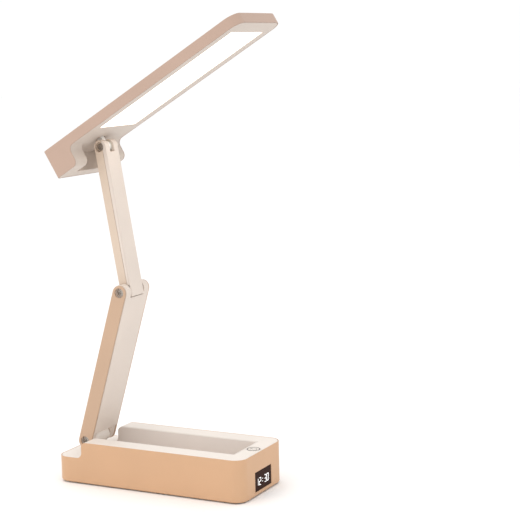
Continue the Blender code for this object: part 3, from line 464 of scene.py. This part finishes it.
bar_master = model_bar()
only(bar_master)
parts = []
for symbol, across in zip("1230", DIGIT_PLACES):
    for letter in LIT[symbol]:
        side, row, upright = BARS[letter]
        part = bpy.data.objects.new("lit_bar", bar_master.data.copy())
        bpy.context.scene.collection.objects.link(part)
        spot = (
            face_x, across * MM + side * DIGIT_WIDTH / 2, digit_level + row * DIGIT_HEIGHT / 2
        )
        turn = Matrix.Rotation(math.pi / 2 if upright else 0.0, 4, "X")
        level_share = (DIGIT_WIDTH - BAR_SPACE) / (DIGIT_HEIGHT / 2 - BAR_SPACE)
        shorter = 1.0 if upright else level_share
        part.data.transform(Matrix.Translation(spot) @ turn @ Matrix.Diagonal((1, shorter, 1, 1)))
        parts.append(part)
for row in DOT_ROWS:
    part = bpy.data.objects.new("lit_dot", bar_master.data.copy())
    bpy.context.scene.collection.objects.link(part)
    spot = (face_x, COLON, digit_level + row * DIGIT_HEIGHT / 2)
    part.data.transform(Matrix.Translation(spot) @ Matrix.Diagonal((*DOT_SHAPE, 1)))
    parts.append(part)
bpy.data.objects.remove(bar_master, do_unlink=True)
only(parts[0])
for part in parts:
    part.select_set(True)
bpy.ops.object.join()
digits = parts[0]
digits.name = "clock_digits"
finish_piece(digits)
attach(digits, "base")

# %% [markdown]
# ## The charging inlet and the two setting buttons
# At the rear, a stamped and drawn steel shell surrounds a plastic tongue, and two small buttons
# set the clock. The shell is a block whose long edges are rounded and whose mouth is inset and
# pushed in.

# %% Model the inlet
INLET_ROUND = 1.45 * MM
INLET_WALL = 0.4 * MM
INLET_BACK = 1.0 * MM
TONGUE_WIDTH = 6.2 * MM
TONGUE_THICKNESS = 0.7 * MM
low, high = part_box("usb_socket")
size = high - low


def runs_inwards(edge):
    """True on the four edges that run from the mouth to the back."""
    return abs(edge.verts[0].co.x - edge.verts[1].co.x) > size.x / 2


bpy.ops.mesh.primitive_cube_add(size=1, location=(low + high) / 2, scale=size)
socket = named("charging_inlet")
round_edges(socket, INLET_ROUND, runs_inwards, 6)
pick(socket, "faces", facing(0, -1))
bpy.ops.mesh.inset(thickness=INLET_WALL)
bpy.ops.mesh.extrude_region_move(
    TRANSFORM_OT_translate={"value": (size.x - INLET_BACK, 0, 0)}
)
round_edges(socket, 0.12 * MM, lambda edge: sharp(edge) and middle(edge).x < low.x + 0.1 * MM, 2)
finish_piece(socket)
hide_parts("usb_socket")
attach(socket, "base")
pieces["usb_socket"] = socket
bpy.ops.mesh.primitive_cube_add(
    size=1, location=((low.x + high.x) / 2, 0, (low.z + high.z) / 2),
    scale=(size.x - 1.8 * MM, TONGUE_WIDTH, TONGUE_THICKNESS),
)
tongue = named("charging_inlet_tongue")
round_edges(tongue, 0.2 * MM)
finish_piece(tongue)
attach(tongue, "base")

# %% [markdown]
# The two clock buttons are small moulded discs in the rear wall, with a slightly sunk middle and
# a rounded outer edge that a fingertip can find. Each rides on its own sliding body. One loop
# builds both, so they match, and each still has its own mesh.

# %% Model the buttons
for node in ("set_button_left", "set_button_right"):
    low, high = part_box(node)
    bpy.ops.mesh.primitive_cylinder_add(
        vertices=40, radius=(high.y - low.y) / 2, depth=high.x - low.x,
        location=(low + high) / 2, rotation=(0, math.pi / 2, 0),
    )
    button = named(node + "_cap")
    pick(button, "faces", facing(0, -1))
    bpy.ops.mesh.inset(thickness=0.8 * MM)
    bpy.ops.mesh.inset(thickness=0.7 * MM, depth=-0.12 * MM)
    round_edges(button, 0.3 * MM, lambda edge: sharp(edge) and middle(edge).x < low.x + 1 * MM)
    finish_piece(button)
    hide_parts(node)
    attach(button, frame["nodes"][node]["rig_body"])
    pieces[node] = button

# %% [markdown]
# ## Nodes and colours
# Every finish is a small network on the Principled shader. One function adds a node, sets it and
# links it; colours are written as screen hex values and turned to linear light by one function.

# %% Add a node, turn a colour to linear
def linear(code):
    """An sRGB hex colour as linear numbers, by the sRGB standard's curve."""
    shares = [int(code[at:at + 2], 16) / 255 for at in (1, 3, 5)]
    return [
        share / 12.92 if share <= 0.04045 else ((share + 0.055) / 1.055) ** 2.4
        for share in shares
    ] + [1.0]


def add(tree, kind, settings, links=None):
    """Add a node: settings name its options or its sockets, links feed its sockets."""
    made = tree.nodes.new("ShaderNode" + kind)
    for name, value in settings.items():
        if isinstance(name, str) and hasattr(made, name):
            setattr(made, name, value)
        else:
            made.inputs[name].default_value = value
    for socket, source in (links or {}).items():
        tree.links.new(source, made.inputs[socket])
    return made


def blank(name, uniform):
    """A material with the uniform values set, its tree, its shader and object coordinates."""
    made = bpy.data.materials.new(name)
    made.use_nodes = True
    shader = made.node_tree.nodes["Principled BSDF"]
    for socket, value in uniform.items():
        shader.inputs[socket].default_value = value
    place = add(made.node_tree, "TexCoord", {}).outputs["Object"]
    return made, made.node_tree, shader, place


def feed(tree, shader, sources):
    """Link each source to the shader's socket of that name."""
    for socket, source in sources.items():
        tree.links.new(source, shader.inputs[socket])


def mix(tree, first, second, share):
    """Blend two hex colours by a share that varies over the surface."""
    return add(tree, "Mix", {"data_type": "RGBA", 6: linear(first), 7: linear(second)},
               {0: share})


def waves(pitch):
    """The Scale at which a wave texture repeats once every pitch, within two percent."""
    return 1 / (pitch * math.tau) * 2


# %% [markdown]
# ## Moulded plastic
# The housings are ABS, injection moulded in a tool whose faces were spark eroded: the colour
# goes right through, the surface is satin, and a very fine even grain breaks up reflections. A
# flat colour with one roughness would look like paint. The grain of the real tool is about 0.05
# mm, too fine to show; it is drawn at about 0.5 mm. Long soft flow clouds, some 50 mm across,
# shift the tone by one or two percent.

# %% Moulded plastic
FLOW = 50 * MM  # from one flow cloud to the next, as in a real moulding
GRAIN = 0.5 * MM  # ten times the 0.05 mm of the real tool's grain


def moulded(name, colour, roughness, grain=GRAIN, depth=0.006 * MM, more=None):
    """A moulded plastic: flow clouds in the tone, fine grain in gloss and height."""
    made, tree, shader, place = blank(name, {"IOR": 1.54, **(more or {})})
    flow = add(tree, "TexNoise", {"Scale": 1 / FLOW, "Detail": 2.0}, {"Vector": place})
    value = add(tree, "MapRange", {
        "From Min": 0.3, "From Max": 0.7, "To Min": 0.975, "To Max": 1.025,
    }, {"Value": flow.outputs[0]})
    tone = add(tree, "HueSaturation", {"Color": linear(colour)}, {"Value": value.outputs[0]})
    spark = add(tree, "TexNoise", {"Scale": 1 / grain, "Detail": 2.0}, {"Vector": place})
    gloss = add(tree, "MapRange", {
        "From Min": 0.3, "From Max": 0.7, "To Min": roughness - 0.04, "To Max": roughness + 0.04,
    }, {"Value": spark.outputs[0]})
    bump = add(tree, "Bump", {"Strength": 0.6, "Distance": depth}, {"Height": spark.outputs[0]})
    feed(tree, shader, {
        "Base Color": tone.outputs[0], "Roughness": gloss.outputs[0], "Normal": bump.outputs[0],
    })
    return made


finishes = {
    "peach_abs": moulded("peach ABS, spark-eroded tool", "#cfa580", 0.45),
    # rose_abs is the base's peach ABS made darker and greyer: painted shade standing in for the
    # shadow on the head's sides
    "rose_abs": moulded("rose ABS, spark-eroded tool", "#bb9f8e", 0.45),
    "ivory_abs": moulded("ivory ABS, fine satin tool", "#e8dfd6", 0.40, depth=0.004 * MM),
    "greige_abs": moulded("greige ABS, spark-eroded tool", "#c9bcb1", 0.50),
    "arm_peach": moulded("peach ABS, arm sides, spark-eroded tool", "#c3a388", 0.45),
    "cream_abs": moulded("cream ABS, arm back, spark-eroded tool", "#d6c2af", 0.45),
    "arm_ivory": moulded("ivory ABS, arm faces, fine satin tool", "#ddd0c5", 0.42,
                         depth=0.004 * MM),
    "tray_greige": moulded("greige ABS, tray insert, spark-eroded tool", "#e2d9d2", 0.50),
    "white_abs": moulded("white ABS, polished tool", "#f4f0ea", 0.30, depth=0.002 * MM),
    "natural_nylon": moulded("natural nylon, moulded", "#ece8dc", 0.45,
                             more={"Subsurface Weight": 0.2}),
    "grey_lead": moulded("grey PVC, extruded", "#6f6c6a", 0.50),
    "black_display": moulded("black PC, moulded bezel", "#141313", 0.35),
    "white_reflector": moulded("white PET film", "#f2f2f0", 0.60, depth=0.003 * MM),
}
print("plastics", len(finishes))

# %% [markdown]
# ## Turned steel, zinc plate and drawn steel
# Screws are turned from bar, so fine rings lie round the axis and stretch the highlight. The
# ballast plate is zinc plated, with faint cells where the zinc grew. The inlet's shell is drawn
# stainless sheet.

# %% Metals
TURNING = 0.3 * MM  # three times the real feed of 0.1 mm for each turn


def turned_steel(name, colour, centre, roughness=0.32):
    """Concentric turning marks about the line through centre along Y."""
    made, tree, shader, place = blank(name, {"Metallic": 1.0})
    centred = add(tree, "Mapping", {"Location": -centre}, {"Vector": place})
    rings = add(tree, "TexWave", {
        "wave_type": "RINGS", "rings_direction": "Y", "Scale": waves(TURNING),
        "Distortion": 0.4, "Detail": 1.0,
    }, {"Vector": centred.outputs[0]})
    tone = mix(tree, colour, "#7b736c", rings.outputs[1])
    gloss = add(tree, "MapRange", {"To Min": roughness - 0.08, "To Max": roughness + 0.1},
                {"Value": rings.outputs[1]})
    bump = add(tree, "Bump", {"Strength": 0.4, "Distance": 0.01 * MM},
               {"Height": rings.outputs[1]})
    feed(tree, shader, {
        "Base Color": tone.outputs[2], "Roughness": gloss.outputs[0], "Normal": bump.outputs[0],
    })
    return made


def grained_metal(name, colour, dark, cell, roughness):
    """Sheet metal with faint cells of slightly different tone and polish."""
    made, tree, shader, place = blank(name, {"Metallic": 1.0})
    cells = add(tree, "TexVoronoi", {"Scale": 1 / cell}, {"Vector": place})
    tone = mix(tree, colour, dark, cells.outputs["Color"])
    gloss = add(tree, "MapRange", {"To Min": roughness - 0.07, "To Max": roughness + 0.1},
                {"Value": cells.outputs["Color"]})
    feed(tree, shader, {"Base Color": tone.outputs[2], "Roughness": gloss.outputs[0]})
    return made


for hinge, centre in hinges.items():
    finishes[hinge] = turned_steel("turned steel, " + hinge.replace("_", " "), "#cdc5bd", centre)
for slot, name, colour, dark, cell, roughness in (
    ("screw_steel", "zinc-plated screw steel", "#9a938c", "#7d766f", 0.6, 0.35),
    ("zinc_plate", "zinc-plated sheet steel", "#b9bcbd", "#9da1a3", 3.0, 0.38),
    ("drawn_steel", "drawn stainless sheet", "#b4b0aa", "#a19d98", 0.8, 0.25),
):
    finishes[slot] = grained_metal(name, colour, dark, cell * MM, roughness)
print("metals", list(hinges))

# %% [markdown]
# ## Pane, light panel and the electrical pieces
# The clock pane is smoked acrylic, black until it is lit, with fine wiping marks. The opal panel
# is acrylic full of scattering particles above an edge-lit guide: it glows evenly, with faint
# rows of prisms.

# %% Glowing and clear finishes
def glowing(name, colour, strength, pitch):
    """Opal acrylic lit from inside, with faint rows at the given pitch."""
    made, tree, shader, place = blank(name, {
        "IOR": 1.49, "Roughness": 0.35, "Emission Strength": strength,
    })
    rows = add(tree, "TexVoronoi", {"Scale": 1 / pitch, "feature": "F1"}, {"Vector": place})
    level = add(tree, "MapRange", {"From Max": 0.8, "To Min": 1.0, "To Max": 0.9},
                {"Value": rows.outputs[0]})
    tone = add(tree, "HueSaturation", {"Color": linear(colour)}, {"Value": level.outputs[0]})
    feed(tree, shader, {"Base Color": tone.outputs[0], "Emission Color": tone.outputs[0]})
    return made


def dusty_gloss(name, colour, roughness, scuff, more):
    """A glossy face with fine wiping marks, drawn some ten times as coarse as real ones."""
    made, tree, shader, place = blank(name, {"IOR": 1.49, **more})
    stretched = add(tree, "Mapping", {"Scale": (1.0, 1.0, 6.0)}, {"Vector": place})
    marks = add(tree, "TexNoise", {"Scale": 1 / scuff, "Detail": 4.0},
                {"Vector": stretched.outputs[0]})
    gloss = add(tree, "MapRange", {
        "From Min": 0.4, "From Max": 0.75, "To Min": roughness, "To Max": roughness + 0.14,
    }, {"Value": marks.outputs[0]})
    level = add(tree, "MapRange", {
        "From Min": 0.4, "From Max": 0.7, "To Min": 0.9, "To Max": 1.12,
    }, {"Value": marks.outputs[0]})
    tone = add(tree, "HueSaturation", {"Color": linear(colour)}, {"Value": level.outputs[0]})
    feed(tree, shader, {"Base Color": tone.outputs[0], "Roughness": gloss.outputs[0]})
    return made


finishes["opal_diffuser"] = glowing("opal acrylic, lit", "#fff6ec", 1.8, 1.2 * MM)
finishes["clock_light"] = glowing("white LED segments", "#ffffff", 1.0, 0.4 * MM)
finishes["smoked_window"] = dusty_gloss(
    "smoked acrylic", "#331b14", 0.12, 3.0 * MM, {"Specular IOR Level": 0.03}
)
finishes["clear_guide"] = dusty_gloss(
    "clear acrylic guide", "#eef2f2", 0.05, 2.0 * MM, {"Transmission Weight": 0.9}
)
finishes["blue_wrap"] = dusty_gloss("blue PVC shrink wrap", "#1f4f96", 0.25, 6.0 * MM, {})
finishes["dark_print"] = moulded("grey screen print", "#5c544e", 0.5, 0.3 * MM)
finishes["dark_ring"] = moulded("dark grey ABS ring", "#574b44", 0.4, 0.4 * MM)


def patterned(name, ground, lines, pitch, roughness, depth=0.02 * MM):
    """A board or mat: a ground crossed by lines or ribs at the given pitch."""
    made, tree, shader, place = blank(name, {"Roughness": roughness})
    bands = add(tree, "TexWave", {"Scale": waves(pitch), "Distortion": 1.5, "Detail": 1.0},
                {"Vector": place})
    over = add(tree, "MapRange", {"From Min": 0.55, "From Max": 0.65},
               {"Value": bands.outputs[1]})
    tone = mix(tree, ground, lines, over.outputs[0])
    bump = add(tree, "Bump", {"Distance": depth, "Strength": 0.7}, {"Height": over.outputs[0]})
    feed(tree, shader, {"Base Color": tone.outputs[2], "Normal": bump.outputs[0]})
    return made


finishes["green_board"] = patterned(
    "glass-epoxy board, green mask", "#0f5a2a", "#1c7a3c", 0.9 * MM, 0.4
)
finishes["led_board"] = patterned(
    "white LED strip board", "#efeee6", "#f0c94a", 3.5 * MM, 0.45
)
finishes["grey_rubber"] = patterned(
    "ribbed grey rubber", "#3a3a3a", "#4a4a4a", 1.5 * MM, 0.85, 0.2 * MM
)
print("finishes", len(finishes))

# %% [markdown]
# ## Dress every piece
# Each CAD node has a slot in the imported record. The node, or the piece that stands for it, takes
# the finish of that slot; a few pieces are named one by one.

# %% Give each piece its finish
record_slot = {part["node"]: part["material_slot"] for part in frame["record"]["subparts"]}
special = {
    "touch_key_ring": "dark_ring",
    "usb_socket": "drawn_steel",
    "storage_tray": "tray_greige",
    "lower_arm_rail_near": "arm_peach",
    "lower_arm_rail_far": "arm_peach",
    "lower_arm_channel": "arm_ivory",
    "upper_arm_cover": "arm_ivory",
    "upper_arm_shell": "cream_abs",
}
for hinge in hinges:
    for end in ("_screw_near", "_screw_far", "_pin"):
        special[hinge + end] = hinge
for node, holder in frame["nodes"].items():
    finish = finishes[special.get(node, record_slot[node])]
    if node in pieces:
        pieces[node].data.materials.clear()
        pieces[node].data.materials.append(finish)
    else:
        holder.material_slots[0].material = finish
for piece, finish, place in (
    (mark, "dark_print", "ivory_abs"),
    (digits, "clock_light", "opal_diffuser"),
    (tongue, "black_display", "black_display"),
):
    piece.data.materials.clear()
    piece.data.materials.append(finishes[finish])

# %% [markdown]
# ## Floor, light and camera
# The lamp stands on a plain pale floor under a large soft box above, a softer one from the near
# side and a pale sky. The camera looks slightly down at the near side and the clock end through
# a long lens.

# %% Floor and light
FLOOR_RADIUS = 12.0
FLOOR_LEVEL = -0.0003  # a little under the mat, so the two never share a plane
SKY_STRENGTH = 1.02
scene = bpy.context.scene
scene.view_settings.view_transform = "Standard"
bpy.ops.mesh.primitive_circle_add(
    vertices=96, radius=FLOOR_RADIUS, fill_type="NGON", location=(0, 0, FLOOR_LEVEL)
)
floor = named("floor")
made, tree, shader, place = blank("pale matt floor", {"Roughness": 0.9})
cloud = add(tree, "TexNoise", {"Scale": 2.0}, {"Vector": place})
level = add(tree, "MapRange", {"To Min": 0.985, "To Max": 1.0}, {"Value": cloud.outputs[0]})
tone = add(tree, "HueSaturation", {"Color": linear("#ffffff")}, {"Value": level.outputs[0]})
feed(tree, shader, {"Base Color": tone.outputs[0]})
floor.data.materials.append(made)

world = bpy.data.worlds.new("pale sky")
world.use_nodes = True
sky = world.node_tree.nodes["Background"]
sky.inputs["Color"].default_value = (1.0, 1.0, 1.0, 1.0)
sky.inputs["Strength"].default_value = SKY_STRENGTH
scene.world = world


def soft_box(name, spot, size, power, colour, aim=(0.0, 0.0, 0.18)):
    """A square light of this size in metres and power in watts, turned towards aim."""
    light = bpy.data.lights.new(name, "AREA")
    light.shape = "SQUARE"
    light.size = size
    light.energy = power
    light.color = linear(colour)[:3]
    holder = bpy.data.objects.new(name, light)
    holder.location = spot
    holder.rotation_euler = (Vector(aim) - Vector(spot)).to_track_quat("-Z", "Y").to_euler()
    scene.collection.objects.link(holder)


soft_box("soft box above", (-0.3, -0.4, 2.2), 1.8, 9, "#fffaf4")
soft_box("soft box near", (-0.9, -2.2, 1.0), 1.6, 5, "#fff4ea")

# %% [markdown]
# The camera stands off the near long side, towards the clock end and at about the height of the
# head, with a long lens that keeps the lamp's edges nearly parallel. Its turn, dip and roll are
# given in degrees and joined in that order into one matrix.

# %% Camera
LENS = 102.34
CAMERA_PLACE = (0.69943, -1.17412, 0.40906)
TURN, DIP, ROLL = 26.99, 8.29, -1.28
camera = bpy.data.objects.new("camera", bpy.data.cameras.new("camera"))
camera.data.lens = LENS
camera.data.sensor_width = 36.0
camera.data.clip_start = 0.05
scene.collection.objects.link(camera)
camera.matrix_world = (
    Matrix.Translation(CAMERA_PLACE)
    @ Matrix.Rotation(math.radians(TURN), 4, "Z")
    @ Matrix.Rotation(math.radians(90.0 - DIP), 4, "X")
    @ Matrix.Rotation(math.radians(ROLL), 4, "Z")
)
scene.camera = camera
